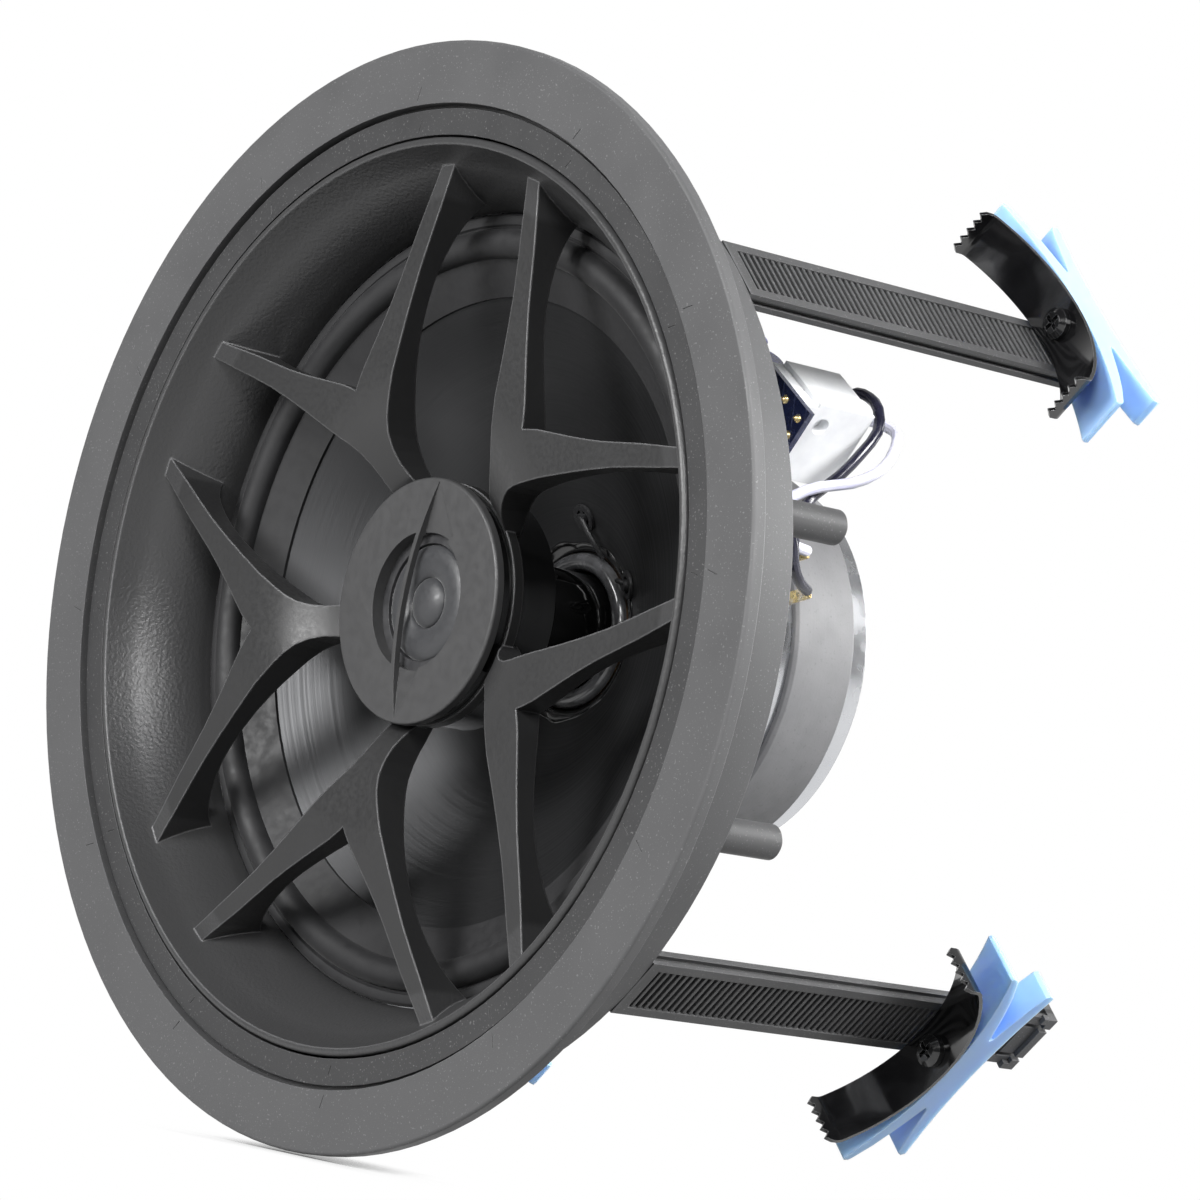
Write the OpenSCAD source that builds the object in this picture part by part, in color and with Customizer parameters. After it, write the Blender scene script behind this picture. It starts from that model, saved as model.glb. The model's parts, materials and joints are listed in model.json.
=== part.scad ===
// Ceiling speaker: an eight inch two way driver set in a round frame.
// The axis of the speaker is Y. The face looks to -Y, the magnet is at +Y and +Z is up.
// Every module below is drawn with its axis on z, where z is the depth behind the
// ceiling, and facing() lays it down. Angles are as seen from the front, from +X to +Z.

/* [Frame] */
// Outer diameter of the flange that covers the cut-out
flange_d = 272; // [252:1:340]
// Thickness of the flange in front of the ceiling
flange_t = 4; // [3:0.2:7]
// Outer diameter of the barrel that goes through the ceiling
barrel_d = 240; // [232:1:250]
// Wall of the barrel
barrel_wall = 2.6; // [2:0.1:4]
// Depth of the barrel behind the ceiling
barrel_depth = 23.5; // [16:0.5:40]
// Depth of the grille ledge below the flange's face
ledge_drop = 1.4; // [0.8:0.1:2]

/* [Clamp arms] */
// Number of clamp arms
arm_count = 4; // [4]
// Width of an arm across its toothed face
rail_w = 18; // [14:0.5:22]
// Thickness of an arm
rail_t = 4.5; // [3.6:0.1:6]
// Length of the arms behind the ceiling
rail_end = 156; // [130:1:190]
// Spacing of the ratchet teeth
tooth_pitch = 2; // [1.6:0.1:4]
// Running clearance of a slider on its arm
slide_gap = 0.3; // [0.2:0.05:0.5]
// Width of the spring strip, along the radius
strip_w = 13.5; // [10:0.5:18]
// Thickness of the spring strip
strip_t = 0.9; // [0.6:0.1:1.4]
// Where the four sliders stand behind the ceiling, from the upper right one round
slider_at = [126, 120, 121, 118]; // [60:1:130]

/* [Baffle] */
// Outer diameter of the dish at its lip
dish_d = 224.6; // [222:0.2:226]
// Diameter of the dish where the woofer starts
throat_d = 196.8; // [190:0.2:200]
// Depth of the throat behind the ceiling
throat_z = 22; // [18:0.5:30]
// Number of Y spokes
spoke_count = 5; // [3:1:7]
// Direction of the first spoke, in degrees from +X
spoke_turn = 47; // [0:1:72]
// Diameter of the tweeter's face disc
disc_d = 61; // [56:0.5:66]
// Depth of the disc's face behind the ceiling
disc_z = 10; // [6:0.5:14]

/* [Woofer] */
// Outer radius of the metal cone that shows
cone_r = 78.3; // [70:0.5:82]
// Diameter of the voice coil
coil_d = 38; // [32:1:44]
// Diameter of the magnet
magnet_d = 100; // [80:1:110]
// Thickness of the magnet
magnet_t = 20; // [14:1:26]
// Front of the woofer's top plate behind the ceiling
motor_z = 84.6; // [80:0.2:92]

/* [Crossover] */
// Direction of the crossover board, in degrees from +X
board_turn = 54.5; // [40:0.5:70]
// Length of the board along the rim
board_l = 63; // [50:1:70]
// Width of the board along the radius
board_w = 25; // [20:1:27]
// Depth of the board behind the ceiling
board_z = 58; // [54:0.5:64]

/* [Hidden] */
$fn = 96;

plastic = "#3b3c3d";
gloss = "#0a0a0b";
steel = "#c9cacb";
ferrite = "#8f9192";
brass = "#b6a05a";
clamp_blue = "#5b8fe0";

// Frame
flange_r = flange_d / 2;
barrel_r = barrel_d / 2;
barrel_in = barrel_r - barrel_wall;
face_z = -flange_t;
ledge_z = face_z + ledge_drop;
ledge_r = barrel_r + 0.4;
dish_r = dish_d / 2;
ledge_in = dish_r + 0.5;
ledge_back = 0.6;
groove_w = 1.1;
groove_z = ledge_z + 1.4;
edge_round = 0.9;

// Baffle
throat_r = throat_d / 2;
shoulder_z = 10;
shoulder_t = 2.5;
boss_r = barrel_in - 4.2;
boss_d = 6.4;
boss_angles = [-5, 60, 120, 175, 240, 300];
post_d = 8.5;
post_r = barrel_in - post_d / 2 - 0.3;
post_end = 44;
post_angles = [14, -24.5, 194, 155.5];
screw_d = 3;
pilot_d = 2.5;
seat_r = 106;
seat_t = 2.6;
basket_screw_r = (throat_r + seat_r) / 2;
basket_screw_angles = [for (i = [0:7]) 22.5 + 45 * i];

// Tweeter
disc_r = disc_d / 2;
disc_t = 2.4;
disc_back = disc_z + disc_t;
housing_r = disc_r - 1.2;
housing_back = 30.7;
housing_wall = 1.8;
hub_gap = 3.4;
hub_t = 3;
hub_wall = 0.9;
open_r = 17;
blade_t = 1.3;
blade_h = 1.5;
blade_turn = -4;
blade_bow = 6;
blade_R = (disc_r * disc_r + blade_bow * blade_bow) / (2 * blade_bow);
dome_r = 6.2;
roll_r = 14.4;
roll_rise = 1.7;
dome_rise = 2.4;
skin_t = 0.4;
dome_z = disc_z + 4.4;
ring_t = 1.2;
ring_r = 17.6;
tw_plate_t = 3;
tw_magnet_t = 5;
tw_plate_z = dome_z + skin_t + 0.4;
tw_magnet_z = tw_plate_z + tw_plate_t;
tw_yoke_z = tw_magnet_z + tw_magnet_t;
tw_yoke_t = housing_back - housing_wall - tw_yoke_z;
post_tube_r = 14.6;
post_tube_wall = 2;

// Woofer
basket_t = 1.2;
gasket_t = 0.6;
rim_z = throat_z + gasket_t;
rim_in = 94.4;
cone_slope = 0.58;
cone_t = 0.8;
cone_z = 27.7;
former_r = coil_d / 2;
former_t = 0.5;
neck_r = former_r + 0.1;
neck_z = cone_z + cone_slope * (cone_r - neck_r);
land_t = 0.8;
land_r = 87;
roll_h = 3.7;
shelf_z = 72;
shelf_in = 50;
shelf_out = 60;
waist_z = 52;
waist_r = 64;
pot_in = 30;
plate_t = 6;
magnet_z = motor_z + plate_t;
back_z = magnet_z + magnet_t;
back_t = 8;
magnet_r = magnet_d / 2;
plate_r = magnet_r - 3;
pole_r = former_r - former_t - 0.6;
vent_r = 6;
coil_h = 12;
spider_z = shelf_z - 0.7;

// Arms and clamps
arm_angles = [for (i = [0:arm_count - 1]) 45 + 90 * i];
rail_out = barrel_r;
rail_in = rail_out - rail_t;
rib_t = 1.6;
rib_inset = 1.1;
tooth_h = 1.1;
tooth_recess = 0.3;
tooth_w = rail_w - 5;
tooth_from = barrel_depth + 3;
tooth_to = rail_end - 6;
tooth_count = floor((tooth_to - tooth_from) / tooth_pitch);
stop_t = 2.6;
stop_lip = 1.2;
base_l = 14;
base_t = 2.3;
wall_t = 1.9;
grip_from = 5;
strip_R = 40;
strip_sweep = 45;
bend_R = 3;
lip_l = 3.4;
lip_teeth = 5;
wing_reach = 35;
tail_reach = 31;
fork_from = 13;
clamp_screw_d = 3;
clamp_head_d = 8;
clamp_head_h = 2.6;
base_in = rail_out + slide_gap + 0.1;
strip_in = base_in + 0.4;
strip_mid = strip_in + strip_w / 2;

// Board
board_out = 91.4;
board_t = 1.6;
bracket_t = 1.2;
lead_d = 2.8;
board_screw_r = 69.4;
board_screw_t = [-9.5, 4.5];

module facing() rotate([-90, 0, 0]) children();
module turn(a) rotate([0, 0, -a]) children();
function arc(cx, cy, r, a0, a1, n) =
    [for (i = [0:n]) let(a = a0 + (a1 - a0) * i / n) [cx + r * cos(a), cy + r * sin(a)]];
module ring(r_in, r_out, z0, z1) {
    translate([0, 0, z0]) difference() {
        cylinder(r = r_out, h = z1 - z0);
        translate([0, 0, -1]) cylinder(r = r_in, h = z1 - z0 + 2);
    }
}

// The flange, its grille ledge and the barrel in one profile
module frame_profile() {
    polygon(concat(
        [[ledge_in, ledge_z], [ledge_r - groove_w, ledge_z], [ledge_r - groove_w, groove_z],
         [ledge_r, groove_z], [ledge_r, face_z]],
        arc(flange_r - edge_round, face_z + edge_round, edge_round, -90, 0, 4),
        [[flange_r, -0.6], [flange_r - 0.6, 0], [barrel_r, 0], [barrel_r, barrel_depth - 0.6],
         [barrel_r - 0.6, barrel_depth], [barrel_in, barrel_depth], [barrel_in, ledge_back],
         [ledge_in, ledge_back]]));
}

// One clamp arm: two ribs with a groove down each side, ratchet teeth and an end stop
module rail() {
    half = rail_w / 2;
    difference() {
        union() {
            translate([rail_out - rib_t, -half, ledge_back])
                cube([rib_t, rail_w, rail_end - ledge_back]);
            translate([rail_in, -half, ledge_back])
                cube([rib_t, rail_w, rail_end - ledge_back]);
            translate([rail_in + 0.5, rib_inset - half, ledge_back])
                cube([rail_t - 1, rail_w - 2 * rib_inset, rail_end - ledge_back]);
            translate([rail_in - stop_lip, -half - 0.6, rail_end - stop_t])
                cube([rail_t + 2 * stop_lip, rail_w + 1.2, stop_t]);
            // Small hooks turned back at both ends of the stop
            for (s = [-1, 1]) translate([rail_out - 0.4, s * (half - 0.4) - 1, rail_end - 4.4])
                cube([stop_lip + 0.4, 2, 3]);
        }
        translate([0, tooth_w / 2, 0]) rotate([90, 0, 0])
            linear_extrude(tooth_w) tooth_gaps();
        // Inside the barrel an arm keeps within its wall, so the cut-out sees a plain round
        ring(barrel_r - 0.05, barrel_r + 3, -1, barrel_depth - 0.3);
        // Two slots behind the stop let it flex when a slider is pushed on
        for (s = [-1, 1])
            translate([rail_in - 2, s * (half - 3.4) - 0.6, rail_end - 9])
                cube([rail_t + 4, 1.2, 12]);
    }
}

// The air over the teeth, as one comb seen from the side
module tooth_gaps() {
    top = rail_out - tooth_recess;
    low = top - tooth_h;
    polygon(concat(
        [[rail_out + 1, tooth_from]],
        [for (i = [0:tooth_count - 1], k = [0:3]) let(z = tooth_from + i * tooth_pitch)
            [k == 0 || k == 3 ? top : low, z + [0, 0.05, 0.5, 0.6][k] * tooth_pitch]],
        [[top, tooth_from + tooth_count * tooth_pitch],
         [rail_out + 1, tooth_from + tooth_count * tooth_pitch]]));
}

module frame() {
    color(plastic) facing() {
        difference() {
            union() {
                rotate_extrude($fn = 180) frame_profile();
                for (a = arm_angles) turn(a) rail();
                for (a = boss_angles) turn(a) translate([boss_r, 0, ledge_back - 0.2])
                    cylinder(d = boss_d, h = shoulder_z - ledge_back + 0.2, $fn = 32);
                for (a = post_angles) turn(a) translate([post_r, 0, ledge_back - 0.2]) {
                    cylinder(d = post_d, h = post_end - ledge_back - 0.8, $fn = 40);
                    translate([0, 0, post_end - ledge_back - 0.8])
                        cylinder(d1 = post_d, d2 = post_d - 2, h = 1, $fn = 40);
                    translate([0, -1, 0]) cube([post_d / 2 + 1, 2, barrel_depth - 3]);
                }
            }
            for (a = boss_angles) turn(a) translate([boss_r, 0, 2])
                cylinder(d = pilot_d, h = shoulder_z, $fn = 24);
            for (a = post_angles) turn(a) translate([post_r, 0, post_end - 16])
                cylinder(d = pilot_d, h = 20, $fn = 24);
            for (i = [0:knit_count - 1]) turn(360 / knit_count * i + 5) knit_marks();
            // Room for the dish behind the ledge
            translate([0, 0, -1]) cylinder(r = ledge_in - 0.2, h = 3.6);
        }
    }
}

// Fine lines where the moulding's streams met, across the flange and the ledge
knit_count = 12;
module knit_marks() {
    for (m = [[ledge_r + 1.2, 3.4, face_z], [ledge_in + 1.6, 2.6, ledge_z]])
        translate([m[0], 0, m[2] - 1]) rotate([0, 0, 20]) translate([0, -0.12, 0])
            cube([m[1], 0.24, 1.12]);
}

// The inner face of the dish from its lip to the throat
function dish_face() = concat(
    arc(dish_r - 1.3, ledge_z + 0.5, 1.3, 0, -120, 6),
    [for (i = [1:9]) let(u = i / 9)
        [throat_r + (dish_r - 2.4 - throat_r) * pow(1 - u, 1.7), -0.6 + (throat_z + 0.6) * u]]);

module dish() {
    face = dish_face();
    rotate_extrude($fn = 180) polygon(concat(
        face,
        [[seat_r, throat_z], [seat_r, throat_z - seat_t], [throat_r + 3.4, throat_z - seat_t],
         [throat_r + 4.6, shoulder_z + shoulder_t], [barrel_in - 0.4, shoulder_z + shoulder_t],
         [barrel_in - 0.4, shoulder_z], [boss_r - boss_d / 2 - 1.6, shoulder_z],
         [boss_r - boss_d / 2 - 1.6, ledge_back + 1.6], [dish_r, ledge_back]]));
}

// A smooth curve through a list of points
function spline(p, i, u) = let(
    a = p[max(i - 1, 0)], b = p[i], c = p[i + 1], d = p[min(i + 2, len(p) - 1)])
    0.5 * (2 * b + (c - a) * u + (2 * a - 5 * b + 4 * c - d) * u * u
        + (3 * b - a - 3 * c + d) * u * u * u);
function smooth_route(p, k) = concat(
    [for (i = [0:len(p) - 2], j = [0:k - 1]) spline(p, i, j / k)], [p[len(p) - 1]]);

// Half of one Y spoke seen from the front, along +x: its outer edge, then its inner one
spoke_outer = [[housing_r - 1, 4.4], [36, 3.9], [43, 5.6], [50, 10.4], [62, 19.8], [75, 31],
    [86, 42.2], [93.5, 49.8], [104, 61]];
spoke_inner = [[104, 54.6], [94, 43.4], [86, 34], [76, 23], [68.5, 13.6], [61.5, 4.2], [57.5, 0]];
module y_half() {
    polygon(concat(smooth_route(spoke_outer, 2), smooth_route(spoke_inner, 2),
        [[housing_r - 1, 0]]));
}
module y_outline() {
    y_half();
    mirror([0, 1]) y_half();
}

// Side view of a spoke from the hub to the wall: flat face, thin back, a fin at the wall
spoke_front = [[housing_r, 16.4], [33, 12.4], [38, 8.9], [44, 6], [50, 4.3], [57, 3.4]];
spoke_back = [[104, 20.4], [97, 14.4], [90, 10.8], [80, 8.9], [70, 8.9], [60, 10.2], [50, 13],
    [41, 16.6], [34, 19.4], [housing_r, 20.8]];
module spoke_envelope() {
    rotate_extrude($fn = 120) polygon(concat(smooth_route(spoke_front, 2), [[112, 3.4], [112, 20.4]],
        smooth_route(spoke_back, 2)));
}

module baffle() {
    color(plastic) facing() {
        difference() {
            union() {
                dish();
                difference() {
                    intersection() {
                        for (i = [0:spoke_count - 1]) turn(spoke_turn + 360 / spoke_count * i)
                            linear_extrude(40) y_outline();
                        spoke_envelope();
                    }
                    wall_outside();
                    cylinder(r = disc_r + 0.3, h = disc_back);
                    cylinder(r = housing_r, h = 40);
                }
                ring(housing_r, housing_r + hub_wall, disc_back + hub_gap,
                    disc_back + hub_gap + hub_t);
            }
            for (a = post_angles) turn(a) translate([post_r, 0, shoulder_z - 1]) {
                cylinder(d = post_d + 0.8, h = 12, $fn = 40);
                translate([0, -1.6, 0]) cube([10, 3.2, 12]);
            }
            for (a = arm_angles) turn(a)
                translate([rail_in - 0.5, -rail_w / 2 - 0.6, shoulder_z - 1])
                cube([10, rail_w + 1.2, 12]);
            for (a = boss_angles) turn(a) translate([boss_r, 0, shoulder_z - 1])
                cylinder(d = screw_d + 0.4, h = 12, $fn = 24);
            for (a = basket_screw_angles) turn(a)
                translate([basket_screw_r, 0, throat_z - seat_t + 0.4])
                cylinder(d = pilot_d, h = 12, $fn = 24);
        }
    }
}

// Everything beyond the dish's wall, which ends the spokes inside it
module wall_outside() {
    face = dish_face();
    rotate_extrude($fn = 180) polygon(concat(
        [for (i = [6:len(face) - 1]) face[i] + [1.2, 0]],
        [[140, throat_z], [140, face[6][1]]]));
}

module pan_screw(head_d, head_h, d, l) {
    difference() {
        union() {
            cylinder(d = head_d, h = head_h * 0.6, $fn = 32);
            translate([0, 0, head_h * 0.6])
                cylinder(d1 = head_d, d2 = head_d * 0.66, h = head_h * 0.4, $fn = 32);
            translate([0, 0, -l]) cylinder(d = d, h = l + 0.1, $fn = 24);
        }
        for (a = [0, 90]) rotate([0, 0, a])
            translate([-head_d * 0.29, -head_d * 0.075, head_h * 0.45])
            cube([head_d * 0.58, head_d * 0.15, head_h]);
    }
}

module baffle_screws() {
    color("#2a2a2a") facing() for (a = boss_angles) turn(a)
        translate([boss_r, 0, shoulder_z + shoulder_t]) pan_screw(5.6, 2, pilot_d - 0.2, 8);
}

module basket_screws() {
    color("#2a2a2a") facing() for (a = basket_screw_angles) turn(a)
        translate([basket_screw_r, 0, rim_z + basket_t]) pan_screw(6, 2.2, pilot_d - 0.2, 3.6);
}

// The bowed blade across the tweeter's opening, seen from the front
module blade_side(grow) {
    translate([blade_R - blade_bow, 0]) circle(r = blade_R + grow, $fn = 160);
}

module seen(points) mirror([0, 1]) polygon(points);
module tweeter_face() {
    rounding = 0.8;
    color(plastic) facing() turn(blade_turn) difference() {
        union() {
            rotate_extrude($fn = 120) polygon(concat(
                [[0, disc_z]], arc(disc_r - rounding, disc_z + rounding, rounding, -90, 0, 4),
                [[disc_r, disc_back], [0, disc_back]]));
            ring(open_r, open_r + 1, disc_back - 0.1, dome_z - ring_t);
        }
        // The round opening, but for the blade that crosses it
        translate([0, 0, disc_z - 1]) linear_extrude(20) difference() {
            circle(r = open_r);
            difference() {
                blade_side(blade_t / 2);
                blade_side(-blade_t / 2);
            }
        }
        // A scoop on the right of the blade at each end, falling towards the opening
        intersection() {
            rotate_extrude($fn = 120) polygon([[0, disc_z - 1], [disc_r + 1, disc_z - 1],
                [disc_r - 0.6, disc_z + 0.1], [26, disc_z + 0.6], [22, disc_z + 1.2],
                [open_r, disc_z + 1.8], [0, disc_z + 1.8]]);
            translate([0, 0, disc_z - 2]) linear_extrude(24) intersection() {
                blade_side(-blade_t / 2);
                union() {
                    seen([[0, 30], [9.4, 17], [4, 12], [-9, 12], [-9, 30]]);
                    seen([[0, -30], [-9, -30], [-9, -12], [2, -12], [5.9, -16.2]]);
                }
            }
        }
        // The blade is thin, so it stands clear of the dome
        translate([0, 0, disc_z + blade_h]) cylinder(r = open_r - 0.5, h = 20);
    }
}

module tweeter_ring() {
    color("#4a4b4c") facing() ring(roll_r + 0.2, open_r + 0.8, dome_z - ring_t, dome_z);
}

// A thin skin: rim, roll and dome pressed from one sheet
function skin(z) = concat(
    [[ring_r, z], [roll_r, z]],
    [for (i = [1:11]) let(a = i * 15)
        [(roll_r + dome_r) / 2 + (roll_r - dome_r) / 2 * cos(a), z - roll_rise * sin(a)]],
    [[dome_r, z]],
    [for (i = [1:8]) let(a = i * 90 / 8) [dome_r * cos(a), z - dome_rise * sin(a)]]);
module tweeter_diaphragm() {
    front = skin(dome_z);
    back = skin(dome_z + skin_t);
    color("#2e2f31") facing() rotate_extrude($fn = 96)
        polygon(concat([for (p = front) p], [for (i = [len(back) - 1:-1:0]) back[i]]));
}

module tweeter_coil() {
    color("#a0522d") facing()
        ring(dome_r - 0.15, dome_r + 0.15, dome_z + skin_t, tw_plate_z + tw_plate_t);
}
module tweeter_plate() {
    color(steel) facing() ring(dome_r + 0.7, ring_r, dome_z + skin_t, tw_plate_z + tw_plate_t);
}
module tweeter_magnet() {
    color("#7d7f80") facing() ring(9, ring_r - 1, tw_magnet_z, tw_yoke_z);
}
module tweeter_yoke() {
    color(steel) facing() {
        translate([0, 0, tw_yoke_z]) cylinder(r = ring_r - 0.5, h = tw_yoke_t);
        translate([0, 0, tw_plate_z + 0.2]) cylinder(r = dome_r - 0.7, h = tw_yoke_z - tw_plate_z);
    }
}
module tweeter_housing() {
    color(gloss) facing() difference() {
        union() {
            translate([0, 0, disc_back]) cylinder(r = housing_r, h = housing_back - disc_back - 1);
            translate([0, 0, housing_back - 1])
                cylinder(r1 = housing_r, r2 = housing_r - 1, h = 1);
        }
        translate([0, 0, disc_back - 1])
            cylinder(r = open_r + 1.2, h = dome_z - disc_back + 1);
        translate([0, 0, dome_z - 1]) cylinder(r = ring_r, h = housing_back - housing_wall - dome_z + 1);
        for (s = [-1, 1]) translate([s * 9, 0, housing_back - 3]) cylinder(r = 1.4, h = 4, $fn = 24);
    }
}
module tweeter_post() {
    color(gloss) facing() difference() {
        union() {
            translate([0, 0, housing_back]) cylinder(r = post_tube_r, h = motor_z - housing_back);
            translate([0, 0, motor_z - 0.1]) cylinder(r = vent_r - 0.1, h = 12);
        }
        translate([0, 0, housing_back - 1])
            cylinder(r = post_tube_r - post_tube_wall, h = motor_z - housing_back - 4);
        translate([0, 0, housing_back]) cylinder(r = vent_r - 2, h = 80, $fn = 48);
    }
}

// Stamped basket: rim, windowed cone, near straight waist, spider shelf and pot
module woofer_basket() {
    t = basket_t;
    windows = 6;
    color(steel) facing() difference() {
        rotate_extrude($fn = 144) polygon([
            [rim_in, rim_z], [seat_r, rim_z], [seat_r, rim_z + t], [rim_in + 1.6, rim_z + t],
            [rim_in + 1.6, 31], [waist_r + 1.4, waist_z + 0.4], [shelf_out + 1.2, shelf_z + t],
            [shelf_in + t, shelf_z + t], [shelf_in + t, motor_z], [pot_in, motor_z],
            [pot_in, motor_z - t], [shelf_in, motor_z - t], [shelf_in, shelf_z],
            [shelf_out, shelf_z], [waist_r, waist_z], [rim_in, 30.4]]);
        for (i = [0:windows - 1]) turn(board_turn + 360 / windows * i)
            translate([0, 0, 33]) linear_extrude(waist_z - 35) window_outline();
        for (i = [0:windows - 1]) turn(board_turn + 30 + 360 / windows * i)
            translate([0, 0, waist_z + 9]) rotate([0, 90, 0]) translate([0, 0, 45])
            cylinder(d = 10, h = 40, $fn = 40);
        for (a = basket_screw_angles) turn(a) translate([basket_screw_r, 0, rim_z - 1])
            cylinder(d = screw_d + 0.4, h = 4, $fn = 24);
    }
}
module window_outline() {
    half = 21;
    polygon([[40, -40 * tan(half)], [110, -110 * tan(half)], [110, 110 * tan(half)],
             [40, 40 * tan(half)]]);
}
module woofer_gasket() {
    color("#1c1c1c") facing() difference() {
        ring(throat_r + 1, seat_r, throat_z, rim_z);
        for (a = basket_screw_angles) turn(a) translate([basket_screw_r, 0, throat_z - 1])
            cylinder(d = screw_d + 0.4, h = 4, $fn = 24);
    }
}

// Height of the cone's front face at a radius
function cone_at(r) = cone_z + cone_slope * (cone_r - r);

module woofer_surround() {
    mid = (land_r + rim_in) / 2;
    half = (rim_in - land_r) / 2;
    t = 0.7;
    base = rim_z - t;
    color("#262627") facing() rotate_extrude($fn = 144) polygon(concat(
        [[cone_r, cone_at(cone_r)], [cone_r, cone_at(cone_r) - land_t],
         [land_r, cone_at(land_r) - land_t + 0.5]],
        [for (i = [0:12]) let(a = 180 - i * 15) [mid + half * cos(a), base - roll_h * sin(a)]],
        [[rim_in + 0.4, base - 0.2]],
        [for (i = [0:4]) let(a = 180 - i * 45)
            [(rim_in + throat_r) / 2 + 1.5 * cos(a), base - 0.2 - 0.8 * sin(a)]],
        [[throat_r - 0.2, base], [throat_r - 0.2, rim_z], [rim_in - t, rim_z]],
        [for (i = [0:12]) let(a = i * 15)
            [mid + (half - t) * cos(a), base + t - (roll_h) * sin(a) + t * sin(a) * 0.4]],
        [[land_r - 0.6, cone_at(land_r - 0.6)]]));
}
module woofer_cone() {
    edge = land_r - 1.6;
    color("#3a3c40") facing() rotate_extrude($fn = 144) polygon([
        [neck_r, neck_z], [edge, cone_at(edge)], [edge, cone_at(edge) + cone_t],
        [neck_r, neck_z + cone_t]]);
}
module coil_former() {
    color("#8a6f4a") facing() ring(former_r - former_t, former_r, neck_z - 1, motor_z + plate_t + 4);
}
module voice_coil() {
    color("#a0522d") facing()
        ring(former_r, former_r + 0.5, motor_z + plate_t / 2 - coil_h / 2,
             motor_z + plate_t / 2 + coil_h / 2);
}

// Soft half roll that closes the gap between the coil and the post
module neck_ring() {
    r0 = post_tube_r + 0.5;
    r1 = neck_r + 0.6;
    mid = (r0 + r1) / 2;
    half = (r1 - r0) / 2;
    base = neck_z - 1;
    color("#55565a") facing() rotate_extrude($fn = 96) polygon(concat(
        [for (i = [0:10]) let(a = 180 - 18 * i) [mid + half * cos(a), base - 2.2 * sin(a)]],
        [for (i = [0:10]) let(a = 18 * i) [mid + (half - 0.6) * cos(a), base - 1.5 * sin(a)]]));
}

// Corrugated cloth disc from the former to the basket's shelf
module spider() {
    n = 44;
    t = 0.7;
    in = former_r;
    flat = 4;
    color("#9a7b45") facing() rotate_extrude($fn = 120) polygon(concat(
        [for (i = [0:n]) spider_point(i / n, in, flat, 0)],
        [for (i = [n:-1:0]) spider_point(i / n, in, flat, t)]));
}
function spider_point(u, in, flat, dz) =
    let(r = in + (shelf_out - 1 - in) * u, wave = (r < in + flat || r > shelf_in + 1) ? 0
        : 1.6 * sin((r - in - flat) / (shelf_in + 1 - in - flat) * 360 * 4))
    [r, spider_z + wave + dz];

module top_plate() {
    color(steel) facing() ring(former_r + 1.2, plate_r + 1, motor_z, magnet_z);
}
module magnet() {
    color(ferrite) facing() translate([0, 0, magnet_z]) rotate_extrude($fn = 144) polygon([
        [former_r + 6, 0], [magnet_r - 0.8, 0], [magnet_r, 0.8], [magnet_r, magnet_t - 0.8],
        [magnet_r - 0.8, magnet_t], [former_r + 6, magnet_t]]);
}
module back_plate() {
    color(steel) facing() rotate_extrude($fn = 144) polygon([
        [vent_r, motor_z], [pole_r - 0.5, motor_z], [pole_r, motor_z + 0.5], [pole_r, back_z],
        [plate_r + 1, back_z], [plate_r + 1, back_z + back_t - 2.5],
        [plate_r - 1.5, back_z + back_t], [vent_r + 3, back_z + back_t],
        [vent_r, back_z + back_t - 3]]);
}

// Steel angle from the basket's waist to the crossover board
module board_bracket() {
    w = 30;
    top = board_z - 3;
    color(steel) facing() turn(board_turn) difference() {
        union() {
            translate([waist_r - 8, -w / 2, top - bracket_t]) cube([30, w, bracket_t]);
            for (t = board_screw_t) translate([board_screw_r, t, top - 0.1])
                cylinder(d = 5, h = 3.1, $fn = 32);
        }
        translate([0, 0, -1]) cylinder(r = bracket_r(), h = 200);
        for (t = board_screw_t) translate([board_screw_r, t, top - 5])
            cylinder(d = pilot_d, h = 20, $fn = 24);
    }
}
function bracket_r() = waist_r + 1.4 - 4 * (board_z - 3 - waist_z) / (shelf_z - waist_z);

module crossover_board() {
    color("#141b33") facing() turn(board_turn) difference() {
        translate([board_out - board_w, -board_l / 2, board_z]) cube([board_w, board_l, board_t]);
        for (t = board_screw_t) translate([board_screw_r, t, board_z - 1])
            cylinder(d = screw_d, h = 5, $fn = 24);
    }
}
module board_screws() {
    color(steel) facing() turn(board_turn) for (t = board_screw_t)
        translate([board_screw_r, t, board_z + board_t]) pan_screw(4.6, 1.8, pilot_d - 0.2, 5);
}
module inductor() {
    color("#a8562c") facing() turn(board_turn) translate([board_out - 8.5, -21, board_z + board_t])
        difference() {
            cylinder(r = 8, h = 10, $fn = 64);
            translate([0, 0, -1]) cylinder(r = 3, h = 12, $fn = 40);
        }
}
module capacitors() {
    color("#2b2c6b") facing() turn(board_turn) for (p = [[-6, 4.5], [4.2, 4]])
        translate([board_out - 2, p[0], board_z + board_t + p[1]]) rotate([0, -90, 0])
        cylinder(r = p[1], h = 14, $fn = 40);
}
module resistor() {
    color("#e8e6df") facing() turn(board_turn)
        translate([board_out - 24, -29, board_z + board_t]) cube([6, 16, 6]);
}

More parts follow.
